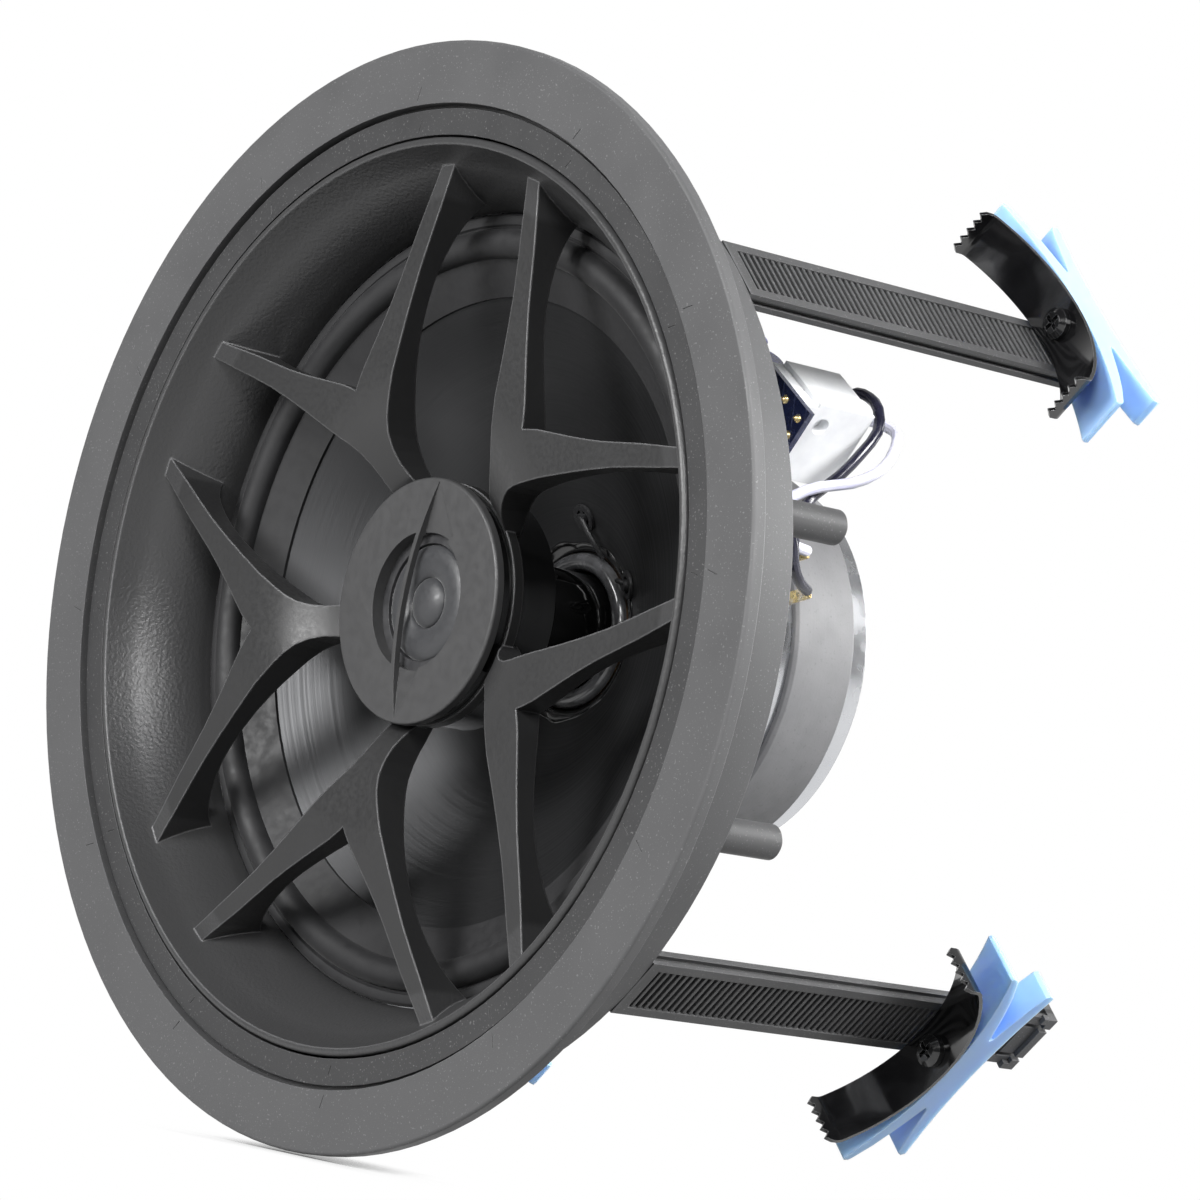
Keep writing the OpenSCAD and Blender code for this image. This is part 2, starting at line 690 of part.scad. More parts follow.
// White push terminal block at the board's end, with its two wells and tabs
block_y = board_l / 2 - 22;
block_x = board_out - 21;
block_l = 22;
block_w = 18;
block_h = 22;
well_d = lead_d + 0.6;
module terminal_block() {
    color("#eceeee") facing() turn(board_turn) translate([block_x, block_y, board_z + board_t])
        difference() {
            cube([block_l, block_w, block_h]);
            for (k = [0, 1]) translate([2 + k * 10.5, -1, block_h - 9]) cube([8, 12, 5.6]);
            for (k = [0, 1]) translate([block_l - 3.5, 4.5 + 9 * k, block_h - 2.6])
                cylinder(d = well_d, h = 4, $fn = 32);
            // Screw well in the face that looks out, and a shallow step along its edge
            translate([block_l - 6, block_w - 3, 8]) rotate([-90, 0, 0]) cylinder(d = 4.4, h = 4, $fn = 32);
            translate([block_l - 1.2, -1, -1]) cube([2, block_w + 2, 5]);
        }
}
module push_tab(k) {
    facing() turn(board_turn) translate([block_x, block_y, board_z + board_t])
        translate([2.4 + k * 10.5, -3, block_h - 8.6]) cube([7.2, 13.8, 4.8]);
}
module red_tab() { color("#b02020") push_tab(0); }
module black_tab() { color("#202020") push_tab(1); }

// Solder tabs of the woofer on the basket's waist
tab_turn = 16;
module woofer_tabs() {
    color(brass) facing() turn(tab_turn) difference() {
        for (s = [-1, 1]) translate([waist_r - 6, s * 5 - 1.5, shelf_z + basket_t])
            cube([14, 3, 0.8]);
        translate([0, 0, -1]) cylinder(r = shelf_in + basket_t + 1, h = 200);
    }
}

// A round wire along hand chosen points, as one swept tube
function unit(v) = v / norm(v);
function tangent(p, i) = unit(p[min(i + 1, len(p) - 1)] - p[max(i - 1, 0)]);
module wire(route, d, k = 2, sides = 10) {
    p = smooth_route(route, k);
    n = len(p);
    points = [for (i = [0:n - 1]) let(
        t = tangent(p, i), side = unit(cross(t, [0.31, 0.17, 0.93])), up = cross(side, t))
        for (j = [0:sides - 1]) let(a = 360 * j / sides)
            p[i] + d / 2 * (cos(a) * side + sin(a) * up)];
    faces = concat(
        [for (j = [1:sides - 2]) [0, j + 1, j]],
        [for (i = [0:n - 2], j = [0:sides - 1], h = [0, 1])
            let(j2 = (j + 1) % sides, a = i * sides + j, b = a + sides, c = i * sides + j2 + sides)
            h == 0 ? [a, c, b] : [a, i * sides + j2, c]],
        [for (j = [1:sides - 2]) let(e = (n - 1) * sides) [e, e + j, e + j + 1]]);
    polyhedron(points, faces, convexity = 6);
}

// Points in the speaker's own axes, from the terminal block to the woofer's tabs
white_route = [[70.35, 79.4, 59], [70.35, 84, 59], [72, 87.4, 58.4], [77, 87.6, 56.8],
    [81.6, 84.8, 54.2], [84.6, 80.6, 49], [84.6, 76.6, 44.8], [81.6, 72, 41.6],
    [77.2, 66, 39.6], [74.4, 60.5, 36.4], [73, 58.4, 32], [72, 60.6, 28], [70.4, 66, 25.4],
    [68.4, 72.8, 24.8]];
black_route = [[63, 79.4, 64.25], [63, 82.8, 64.25], [65, 85, 65.6], [69, 85.4, 64.6],
    [73.6, 84.6, 61.6], [76.4, 82.8, 55.8], [76.8, 78, 49.6], [75.6, 73.4, 43.6], [74.2, 67.6, 38],
    [74.8, 63, 32.6], [75.8, 61.4, 27], [75.2, 62.8, 21], [73.2, 67, 17], [70.4, 72.8, 15.2]];
module white_lead() { color("#dfe2f2") wire(white_route, lead_d); }
module black_lead() { color("#1a1a24") wire(black_route, lead_d); }

// Eyelets riveted through the cone, and the braid from each to the neck
eyelets = [[28.4, 83.3, 65], [24.6, 29.9, 40]];
module tinsel_leads() {
    tilt = atan(cone_slope);
    color("#151515") {
        facing() for (e = eyelets) turn(e[1]) translate([e[0], 0, cone_at(e[0])])
            rotate([0, tilt, 0]) translate([0, 0, -0.26]) {
                translate([0, 0, -0.8]) difference() {
                    cylinder(r = 3.6, h = 0.78, $fn = 40);
                    translate([0, 0, -1]) cylinder(r = 2.2, h = 3, $fn = 32);
                }
                translate([0, 0, -1.8]) cylinder(r = 1.5, h = 1.78, $fn = 24);
                translate([-3, -0.6, -0.8]) cube([6, 1.2, 0.78]);
            }
        for (e = eyelets) wire([for (u = [0:0.25:1]) let(
            r = e[0] * (1 - u) + (neck_r + 1.2) * u, a = e[1] * (1 - u) + e[2] * u)
            [r * cos(a), cone_at(r) - 1.7 - 1.2 * sin(180 * u), r * sin(a)]], 1.3, 2, 8);
    }
}

// Seen along the radius: one long bow, then a short bend and a straight lip to the ceiling
function strip_side(r, bend) = let(a = 90 - strip_sweep, c = [(strip_R - bend_R) * cos(a),
    -strip_R + (strip_R - bend_R) * sin(a)])
    concat([for (i = [0:12]) let(q = 90 - strip_sweep * i / 12)
            [(strip_R - r) * cos(q), -strip_R + (strip_R - r) * sin(q)]],
        [for (i = [1:4]) let(q = a - a * i / 4) c + bend * [cos(q), sin(q)]],
        [[c[0] + bend, c[1] - lip_l]]);
module strip_outline() {
    outside = strip_side(0, bend_R);
    inside = strip_side(strip_t, bend_R - strip_t);
    last = len(outside) - 1;
    polygon(concat(
        [for (i = [last:-1:1]) [-outside[i][0], outside[i][1]]], outside,
        [for (i = [last:-1:0]) inside[i]],
        [for (i = [1:last]) [-inside[i][0], inside[i][1]]]));
}
// A child drawn as (tangential, depth) is raised along the radius
module along_radius(from, w) {
    translate([from, 0, 0]) rotate([90, 0, 90]) linear_extrude(w) children();
}
lip_z = -strip_R + (strip_R - bend_R) * sin(90 - strip_sweep) - lip_l;
module clamp_spring(k) {
    color(gloss) facing() turn(arm_angles[k]) translate([0, 0, slider_at[k]]) difference() {
        along_radius(strip_in, strip_w) strip_outline();
        translate([strip_mid, 0, -20]) cylinder(d = clamp_screw_d + 0.6, h = 40, $fn = 32);
        translate([strip_in, 45, 0]) rotate([90, 0, 0]) linear_extrude(90) saw_gaps();
    }
}
// The air between the teeth of both lips
module saw_gaps() {
    p = strip_w / lip_teeth;
    polygon(concat([[-1, lip_z - 3], [-1, lip_z + 1.8], [0, lip_z + 1.8]],
        [for (i = [0:lip_teeth - 1], h = [0, 1])
            h == 0 ? [(i + 0.7) * p, lip_z - 0.15] : [(i + 1) * p, lip_z + 1.8]],
        [[strip_w + 1, lip_z + 1.8], [strip_w + 1, lip_z - 3]]));
}

// Half of the slider's butterfly body seen along the radius
function wing_z(y) = -0.0058 * y * y;
function tail_z(y) = 8.4 + 0.0028 * y * y;
module wing_half() {
    n = 8;
    tip = wing_z(wing_reach);
    polygon(concat(
        [for (i = [0:n]) let(y = (wing_reach - 0.6) * i / n) [y, wing_z(y)]],
        [[wing_reach, tip + 0.7], [wing_reach - 0.2, tip + 2], [wing_reach - 1, tip + 2.7]],
        [for (i = [1:3]) let(u = i / 4, y = wing_reach - 1 - (wing_reach - 1 - fork_from) * u)
            [y, wing_z(y) + 2.7 + 1.6 * u]],
        [[fork_from, 3.6], [fork_from + 0.6, 4.4]],
        [for (i = [1:3]) let(u = i / 4, y = fork_from + (tail_reach - fork_from) * u)
            [y, 4.4 + 3.8 * u]],
        [[tail_reach - 0.6, tail_z(tail_reach) - 2.6], [tail_reach, tail_z(tail_reach) - 1.4],
         [tail_reach - 0.7, tail_z(tail_reach) - 0.2]],
        [for (i = [n - 1:-1:0]) let(y = tail_reach * i / n) [y, tail_z(y)]],
        [[-0.01, tail_z(0)], [-0.01, 0]]));
}
module slider(k) {
    half = rail_w / 2 + slide_gap;
    lip_in = rail_w / 2 - rib_inset + slide_gap;
    lip_lo = rail_in + rib_t + slide_gap;
    lip_hi = rail_out - rib_t - slide_gap;
    color(clamp_blue) facing() turn(arm_angles[k]) translate([0, 0, slider_at[k]])
        difference() {
            union() {
                translate([base_in, -half - wall_t, grip_from])
                    cube([base_t, 2 * (half + wall_t), base_l - grip_from]);
                for (s = [-1, 1]) {
                    translate([lip_lo, s > 0 ? half : -half - wall_t, grip_from])
                        cube([base_in - lip_lo + 0.1, wall_t, base_l - grip_from]);
                    translate([lip_lo, s > 0 ? lip_in : -half - 0.1, grip_from])
                        cube([lip_hi - lip_lo, half - lip_in + 0.1, base_l - grip_from]);
                    mirror([0, s < 0 ? 1 : 0, 0])
                        along_radius(base_in, strip_in + strip_w - base_in) wing_half();
                }
            }
            // The rear wings are narrower than the front ones
            for (s = [0, 1]) mirror([0, s, 0]) translate([base_in - 1, fork_from + 1, 3.7])
                cube([strip_mid - base_in - 0.4, tail_reach, 12]);
            translate([strip_mid, 0, -1]) cylinder(d = clamp_screw_d + 0.2, h = 8, $fn = 32);
        }
}
// The head bears on the bowed strip at its rim
head_gap = 0.01 + strip_R - strip_t - sqrt(pow(strip_R - strip_t, 2) - pow(clamp_head_d / 2, 2));
module clamp_screw(k) {
    color("#111111") facing() turn(arm_angles[k])
        translate([strip_mid, 0, slider_at[k] - strip_t - head_gap]) rotate([180, 0, 0])
        pan_screw(clamp_head_d, clamp_head_h, clamp_screw_d, strip_t + head_gap + 5);
}

frame();
baffle();
baffle_screws();
tweeter_face();
tweeter_ring();
tweeter_diaphragm();
tweeter_coil();
tweeter_plate();
tweeter_magnet();
tweeter_yoke();
tweeter_housing();
tweeter_post();
woofer_basket();
woofer_gasket();
basket_screws();
woofer_surround();
woofer_cone();
neck_ring();
coil_former();
voice_coil();
spider();
top_plate();
magnet();
back_plate();
board_bracket();
crossover_board();
board_screws();
inductor();
capacitors();
resistor();
terminal_block();
red_tab();
black_tab();
woofer_tabs();
white_lead();
black_lead();
tinsel_leads();
slider(0);  // slider_1
slider(1);  // slider_2
slider(2);  // slider_3
slider(3);  // slider_4
clamp_spring(0);  // clamp_spring_1
clamp_spring(1);  // clamp_spring_2
clamp_spring(2);  // clamp_spring_3
clamp_spring(3);  // clamp_spring_4
clamp_screw(0);  // clamp_screw_1
clamp_screw(1);  // clamp_screw_2
clamp_screw(2);  // clamp_screw_3
clamp_screw(3);  // clamp_screw_4
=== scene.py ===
# %% [markdown]
# # A ceiling speaker, seen from the front left
#
# The speaker is a round frame with a dish, five forked spokes, a small tweeter in the middle
# and a metal cone behind it. Four toothed arms at the back carry its clamps. Every part is
# already made to size, so this lesson is about camera, light and finishes, and about two
# small shapes that a mesh shows better than a machined solid: hand laid glue and solder.

# %% Load the speaker's exact parts
import json
import math

import bmesh
import bpy
from mathutils import Matrix, Vector


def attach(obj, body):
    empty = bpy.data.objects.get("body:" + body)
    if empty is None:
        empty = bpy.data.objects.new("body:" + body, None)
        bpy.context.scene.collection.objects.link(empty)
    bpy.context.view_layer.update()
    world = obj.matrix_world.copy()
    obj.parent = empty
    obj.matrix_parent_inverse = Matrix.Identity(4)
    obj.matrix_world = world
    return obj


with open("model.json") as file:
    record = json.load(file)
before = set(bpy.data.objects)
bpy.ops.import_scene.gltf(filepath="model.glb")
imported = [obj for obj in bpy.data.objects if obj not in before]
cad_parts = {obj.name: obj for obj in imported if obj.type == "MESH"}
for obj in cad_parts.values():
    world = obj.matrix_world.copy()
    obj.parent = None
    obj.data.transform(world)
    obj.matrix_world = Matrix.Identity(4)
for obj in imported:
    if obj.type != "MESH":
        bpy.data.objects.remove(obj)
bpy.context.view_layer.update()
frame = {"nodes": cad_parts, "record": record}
nodes = frame["nodes"]
MM = 0.001

# %% [markdown]
# ## The camera
#
# The rings of the frame are circles, so their ellipses in the picture tell where the camera
# stood: about 1.2 m away, nearly 50 degrees round to the right and a little below the middle.
# The long lens keeps the far arms almost as large as the near rim. The camera leans by 8
# degrees, because the speaker was propped with its face tipped up. A camera could also be
# turned by angles, but two directions, ahead and to the right, are easier to measure and
# can't be applied in the wrong order.

# %% Place the camera
CAMERA_AT = Vector((0.9764, -0.7525, -0.0681))
LOOK = Vector((-0.7642, 0.6421, 0.0602))
RIGHT = Vector((0.6429, 0.7520, 0.1440))
LENS_MM = 152.8
SENSOR_MM = 36

look = LOOK.normalized()
right = (RIGHT - look * RIGHT.dot(look)).normalized()
up = right.cross(look)
turn = Matrix((right, up, -look)).transposed().to_4x4()
camera = bpy.data.objects.new("camera", bpy.data.cameras.new("camera"))
bpy.context.scene.collection.objects.link(camera)
camera.matrix_world = Matrix.Translation(CAMERA_AT) @ turn
camera.data.sensor_width = SENSOR_MM
camera.data.lens = LENS_MM
camera.data.clip_start = 0.05
bpy.context.scene.camera = camera
print("camera", CAMERA_AT.length, "m from the origin, lens", LENS_MM, "mm")

# %% [markdown]
# ## Short ways to wire nodes
#
# Finishes could be wired by hand in the shader editor, but this object has over twenty of
# them, and most share the same moves. So the recipe for a finish is built up in three small
# classes. The first one only adds nodes to a tree and joins them. A setting that starts with
# a capital letter names a socket, and any other one names a property of the node.

# %% Wire nodes in a tree


def socket_name(key):
    """From_Min as written in Python becomes From Min, as the socket is called."""
    return key.replace("_", " ").title()


class Wiring:
    """A node tree and short ways to add nodes to it."""

    def __init__(self, tree):
        self.tree = tree

    def feed(self, socket, value):
        """Gives a socket a link from another socket, or a plain value."""
        if isinstance(value, bpy.types.NodeSocket):
            self.tree.links.new(value, socket)
        else:
            socket.default_value = value

    def node(self, kind, **settings):
        """Adds a node with its sockets and properties set."""
        made = self.tree.nodes.new("ShaderNode" + kind)
        for key, value in settings.items():
            if key[0].isupper():
                self.feed(made.inputs[socket_name(key)], value)
            else:
                setattr(made, key, value)
        return made

    def maths(self, operation, a, b=0.0):
        """One calculation with two values, each a number or a socket."""
        made = self.node("Math", operation=operation)
        self.feed(made.inputs[0], a)
        self.feed(made.inputs[1], b)
        return made.outputs[0]

    def dot(self, a, b):
        """How far two directions agree, from -1 to 1."""
        made = self.node("VectorMath", operation="DOT_PRODUCT")
        self.feed(made.inputs[0], a)
        self.feed(made.inputs[1], b)
        return made.outputs["Value"]

    def spread(self, value, low, high, to_low=0.0, to_high=1.0):
        """Turns the range low..high of a value into another range, and clamps it."""
        return self.node("MapRange", interpolation_type="SMOOTHSTEP", Value=value,
                         From_Min=low, From_Max=high, To_Min=to_low, To_Max=to_high).outputs[0]


print("the tree offers", [name for name in vars(Wiring) if not name.startswith("_")])

# %% [markdown]
# ## Marks on a surface
#
# Grain, lathe marks and blotches are patterns in space. They could come from pictures wrapped
# round the parts, but these parts have no unwrapped skin, and a pattern worked out from the
# place on the object has no seams and keeps its real size. The second class makes the
# patterns, each given by its size in millimetres.

# %% Make marks from the place on the object


class Marks(Wiring):
    """Patterns in space, measured in millimetres on the object."""

    def __init__(self, tree):
        super().__init__(tree)
        self.place = self.node("TexCoord").outputs["Object"]

    def noise(self, size_mm, detail=2.0, place=None):
        """Cloudy noise whose lumps are about size_mm across."""
        return self.node("TexNoise", Scale=1 / (size_mm * MM), Detail=detail,
                         Vector=place or self.place).outputs["Fac"]

    def patches(self, size_mm, low, high, detail=2.0):
        """Patches of noise with soft borders; a higher low leaves fewer of them."""
        return self.spread(self.noise(size_mm, detail), low, high)

    def cells(self, size_mm):
        """Cells about size_mm across, dark in the middle."""
        return self.node("TexVoronoi", Scale=1 / (size_mm * MM), Vector=self.place).outputs["Distance"]

    def stretched(self, x, y, z):
        """The place on the object, squeezed or stretched along each axis."""
        made = self.node("VectorMath", operation="MULTIPLY")
        self.feed(made.inputs[0], self.place)
        self.feed(made.inputs[1], (x, y, z))
        return made.outputs["Vector"]

    def place_mm(self, axis):
        """One coordinate of the place, in millimetres."""
        in_mm = self.stretched(1 / MM, 1 / MM, 1 / MM)
        return self.node("SeparateXYZ", Vector=in_mm).outputs[axis]

    def depth_mm(self):
        """Depth behind the ceiling's face."""
        return self.place_mm("Y")

    def radius_mm(self):
        """Distance from the speaker's axis."""
        made = self.node("VectorMath", operation="LENGTH", Vector=self.stretched(1 / MM, 0, 1 / MM))
        return made.outputs["Value"]

    def rings(self, size_mm, value=None):
        """Noise that changes only with the radius, or a value given, like the marks of a lathe."""
        return self.node("TexNoise", noise_dimensions="1D", Scale=1 / size_mm, Detail=3.0,
                         W=value or self.radius_mm()).outputs["Fac"]


print("marks:", [name for name in vars(Marks) if not name.startswith("_")])

# %% [markdown]
# ## The recipe for a finish
#
# The third class adds the main shader and what one sees on a real surface: a tint where a
# mark is, gloss that varies, relief, softened edges with wear and painted highlights along them, and
# painted shade in gaps.
# The softened edge is only a look. Real bevels on every edge would give many more triangles,
# and the exact parts have to keep their shape.

# %% The recipe class
MIX_FACTOR = 0
MIX_FROM = 6
MIX_TO = 7
MIX_OUT = 2
COAT_ROUGHNESS = 0.06


class Finish(Marks):
    """One finish: a main shader and the marks that vary it over the surface."""

    def __init__(self, name, colour, rough, metal=0.0, coat=0.0):
        self.material = bpy.data.materials.new(name)
        self.material.use_nodes = True
        super().__init__(self.material.node_tree)
        self.main = self.tree.nodes["Principled BSDF"]
        self.colour = (*colour, 1.0)
        self.normal = None
        self.rounded = None
        self.shader(Base_Color=self.colour, Roughness=rough, Metallic=metal,
                    Coat_Weight=coat, Coat_Roughness=COAT_ROUGHNESS)

    def shader(self, **values):
        """Sets or links sockets of the main shader."""
        for key, value in values.items():
            self.feed(self.main.inputs[socket_name(key)], value)

    def tint(self, mask, other, amount=1.0):
        """Blends the colour towards another one where the mask is high, by at most amount."""
        made = self.node("Mix", data_type="RGBA")
        self.feed(made.inputs[MIX_FACTOR], self.maths("MULTIPLY", mask, amount))
        self.feed(made.inputs[MIX_FROM], self.colour)
        self.feed(made.inputs[MIX_TO], (*other, 1.0))
        self.colour = made.outputs[MIX_OUT]
        self.shader(Base_Color=self.colour)

    def gloss(self, mark, low, high):
        """Roughness between two values, led by a mark."""
        self.shader(Roughness=self.spread(mark, 0.25, 0.75, low, high))

    def relief(self, height, distance_mm, strength=1.0):
        """Raises the surface by a height map; several reliefs stack."""
        made = self.node("Bump", Strength=strength, Distance=distance_mm * MM, Height=height)
        if self.normal is not None:
            self.feed(made.inputs["Normal"], self.normal)
        self.normal = made.outputs["Normal"]
        self.shader(Normal=self.normal)

    def woven(self, thread_mm, distance_mm, strength, directions):
        """Relief of thin threads, one set for each direction."""
        for direction in directions:
            self.relief(self.noise(thread_mm, 1.0, self.stretched(*direction)), distance_mm, strength)

    def soften(self, radius_mm):
        """Rounds the look of sharp edges, as a mould or a tumbler leaves them."""
        self.rounded = self.node("Bevel", samples=4, Radius=radius_mm * MM).outputs["Normal"]
        self.normal = self.rounded
        self.shader(Normal=self.normal)

    def edge(self, low=0.02, high=0.3):
        """A mask that is high only along the edges that soften() rounds, for wear and painted edge
        highlights.
        """
        flat = self.node("NewGeometry").outputs["Normal"]
        return self.spread(self.maths("SUBTRACT", 1.0, self.dot(self.rounded, flat)), low, high)

    def crevice(self, distance_mm):
        """A mask that is high in narrow gaps, for painted shade where no light gets in."""
        cover = self.node("AmbientOcclusion", samples=4, Distance=distance_mm * MM)
        return self.spread(cover.outputs["AO"], 0.85, 0.45)


print("the recipe adds", [name for name in vars(Finish) if not name.startswith("_")])

# %% [markdown]
# ## Smooth rounds on the ready made parts
#
# The exact parts arrive as facets. Joining their corners and shading them smoothly, but not
# over real edges, brings back the rounds. Subdivision would round the real edges too. These
# three are modifiers, so the parts keep their shape.

# %% Shade every part smoothly
EDGE_ANGLE = math.radians(32)
SAME_CORNER = 1e-6

for part in nodes.values():
    if "custom_normal" in part.data.attributes:
        part.data.attributes.remove(part.data.attributes["custom_normal"])
    part.data.polygons.foreach_set("use_smooth", [True] * len(part.data.polygons))
    part.modifiers.new("join_corners", "WELD").merge_threshold = SAME_CORNER
    part.modifiers.new("keep_edges", "EDGE_SPLIT").split_angle = EDGE_ANGLE
    part.modifiers.new("flat_stays_flat", "WEIGHTED_NORMAL").mode = "FACE_AREA"
print("smoothed", len(nodes), "parts")

# %% [markdown]
# ## The studio's walls
#
# The picture was taken on a white sweep: white behind and below, and a dark room on the
# camera's side. Gloss needs that dark side, or black plastic turns grey. Real walls would
# cost render time and could show at the picture's edge. So the world does it: white for the
# camera, and for everything else grey with a bright lobe where the sweep stands.

# %% Build the world
WHITE = (1, 1, 1, 1)
SWEEP_AT = (-0.72, 0.62, 0.1)
SWEEP_LIGHT = 0.7
ROOM_LIGHT = 0.07

world = bpy.data.worlds.new("white_sweep")
world.use_nodes = True
sky = Wiring(world.node_tree)
toward = sky.node("TexCoord").outputs["Generated"]
room = sky.tree.nodes["Background"]
sky.feed(room.inputs["Color"], WHITE)
sky.feed(room.inputs["Strength"], sky.spread(sky.dot(toward, SWEEP_AT), 0.1, 0.9, ROOM_LIGHT, SWEEP_LIGHT))
white = sky.node("Background", Color=WHITE, Strength=1.0)
either = sky.node("MixShader")
sky.feed(either.inputs[0], sky.node("LightPath").outputs["Is Camera Ray"])
sky.feed(either.inputs[1], room.outputs[0])
sky.feed(either.inputs[2], white.outputs[0])
sky.feed(sky.tree.nodes["World Output"].inputs["Surface"], either.outputs[0])
bpy.context.scene.world = world
bpy.context.scene.view_settings.view_transform = "Standard"
print("world:", len(sky.tree.nodes), "nodes")

# %% [markdown]
# ## The floor
#
# The floor is as white as the world, so no horizon shows. Only the shade right under the
# flange is left of it. A lit white floor would need its light balanced against the world's,
# so this one glows instead, and dims where much of the sky above it is covered. Gloss still
# mirrors it, but it doesn't light dull surfaces, because the world already does.

# %% Lay the floor
FLOOR_Z = -0.1365
FLOOR_RADIUS = 12
FLOOR_SIDES = 96
SHADE_REACH = 0.022
DARKEST_SHADE = 0.12

floor_white = Finish("floor_white", (1.0, 1.0, 1.0), 0.6)
cover = floor_white.node("AmbientOcclusion", samples=8, Distance=SHADE_REACH)
shade = floor_white.spread(cover.outputs["AO"], 0.12, 0.72, DARKEST_SHADE, 1.0)
glow = floor_white.node("Emission", Strength=shade)
floor_white.feed(floor_white.tree.nodes["Material Output"].inputs["Surface"], glow.outputs[0])

floor_mesh = bpy.data.meshes.new("floor")
disc = bmesh.new()
bmesh.ops.create_circle(disc, cap_ends=True, radius=FLOOR_RADIUS, segments=FLOOR_SIDES)
disc.to_mesh(floor_mesh)
disc.free()
floor = bpy.data.objects.new("floor", floor_mesh)
floor.location = (0, 0.05, FLOOR_Z)
floor.data.materials.append(floor_white.material)
floor.visible_diffuse = False
bpy.context.scene.collection.objects.link(floor)
print("floor at", FLOOR_Z, "m")

# %% [markdown]
# ## The soft boxes
#
# A large box in front lights the flange and leaves the sides of the spokes dark. One beside
# the speaker, behind the flange's plane, and one at the back light the arms, the board and
# the magnet. One above the camera draws the bright band along the dish, and a small low one
# opens the shadows. Area lights are used, because a lamp or a sun has no width, and so its
# shine on gloss is a dot instead of a band.

# %% Hang the soft boxes
AIM = Vector((0, 0.05, 0))
BOXES = {
    "front_box": ((-0.15, -1.8, 0.75), 0.9, 48),
    "side_box": ((1.7, 0.35, 0.9), 0.8, 60),
    "rear_box": ((0.5, 1.6, 0.5), 0.8, 26),
    "camera_box": ((1.1, -1.1, 0.75), 0.5, 18),
    "low_box": ((0.4, -1.5, -0.9), 0.5, 8),
}
for name, (place, size, watts) in BOXES.items():
    light = bpy.data.lights.new(name, "AREA")
    light.shape = "SQUARE"
    light.size = size
    light.energy = watts
    holder = bpy.data.objects.new(name, light)
    holder.location = place
    holder.rotation_mode = "QUATERNION"
    holder.rotation_quaternion = (AIM - Vector(place)).to_track_quat("-Z", "Y")
    bpy.context.scene.collection.objects.link(holder)
print("soft boxes:", len(BOXES))

# %% [markdown]
# ## Moulded plastic of the frame
#
# The flange and the arms are one charcoal moulding. Its mould was spark eroded, which leaves
# a fine even grain with tiny bright specks. The ledge for the grille is smoother. Painted shade
# darkens the recessed ledge, the arms behind the flange, the floors of the ratchet teeth, which
# catch hardly any light, and narrow gaps. Painted highlights with some wear brighten the edges.
# The part is one mesh, so radius and depth tell where the ledge, the arms and the teeth are.

# %% Mix the frame's plastic
CHARCOAL = (0.078, 0.078, 0.080)
CHARCOAL_DRIFT = (0.062, 0.062, 0.064)
LEDGE_PAINTED_SHADE = (0.026, 0.026, 0.027)
ARM_PAINTED_SHADE = (0.040, 0.040, 0.041)
TOOTH_SHADE = (0.006, 0.006, 0.006)
GAP_SHADE = (0.004, 0.004, 0.004)
BRIGHT_SPECK = (0.30, 0.30, 0.30)
CHARCOAL_WEAR_AND_HIGHLIGHT = (0.22, 0.22, 0.225)
LEDGE_RADIUS_MM = (120.4, 120.2)
LEDGE_DEPTH_MM = (3, 1)
ARM_DEPTH_MM = (23.6, 24.4)
TOOTH_FLOOR_MM = (119.0, 118.5)
BELOW_TEETH_MM = (117.4, 117.6)


def tooth_floors(skin, arm):
    """A mask of the floors between the teeth; the arms stand on the diagonals."""
    sideways = skin.maths("ABSOLUTE", skin.place_mm("X"))
    upward = skin.maths("ABSOLUTE", skin.place_mm("Z"))
    outward = skin.maths("MULTIPLY", skin.maths("ADD", sideways, upward), math.sqrt(0.5))
    floors = skin.maths("MULTIPLY", skin.spread(outward, *TOOTH_FLOOR_MM), arm)
    return skin.maths("MULTIPLY", floors, skin.spread(outward, *BELOW_TEETH_MM))


def frame_plastic():
    skin = Finish("frame_plastic", CHARCOAL, 0.52)
    skin.soften(0.35)
    inside = skin.spread(skin.radius_mm(), *LEDGE_RADIUS_MM)
    ledge = skin.maths("MULTIPLY", inside, skin.spread(skin.depth_mm(), *LEDGE_DEPTH_MM))
    arm = skin.spread(skin.depth_mm(), *ARM_DEPTH_MM)
    skin.tint(skin.patches(26, 0.35, 0.65), CHARCOAL_DRIFT, 0.3)
    # painted shade: the recessed ledge is darkened
    skin.tint(ledge, LEDGE_PAINTED_SHADE, 0.9)
    # painted shade: the arms behind the flange are darkened
    skin.tint(arm, ARM_PAINTED_SHADE, 0.6)
    # painted shade on the floors between the teeth
    skin.tint(tooth_floors(skin, arm), TOOTH_SHADE, 0.85)
    skin.tint(skin.patches(0.55, 0.66, 0.74, 1.0), BRIGHT_SPECK, 0.3)
    # painted highlight and some wear along the edges
    skin.tint(skin.edge(), CHARCOAL_WEAR_AND_HIGHLIGHT, 0.35)
    # painted shade in narrow gaps
    skin.tint(skin.crevice(0.6), GAP_SHADE, 0.9)
    skin.gloss(skin.noise(14, 4.0), 0.44, 0.58)
    skin.relief(skin.noise(0.4, 3.0), 0.05, 0.55)
    skin.relief(skin.noise(7), 0.05, 0.2)
    return skin.material


print("frame plastic: the arms start", ARM_DEPTH_MM[0], "mm behind the ceiling")

# %% [markdown]
# ## Moulded plastic of the baffle
#
# The baffle is a second moulding, a shade darker. Its dish has a leathery grain about a
# millimetre wide that breaks the light up, while the spokes are nearly smooth with softly
# rounded edges, brightened by painted highlights and some wear. The rim round the tweeter is
# blacker. One finish serves all three, and the radius blends them, so there is no hard border
# where a spoke runs into the dish.

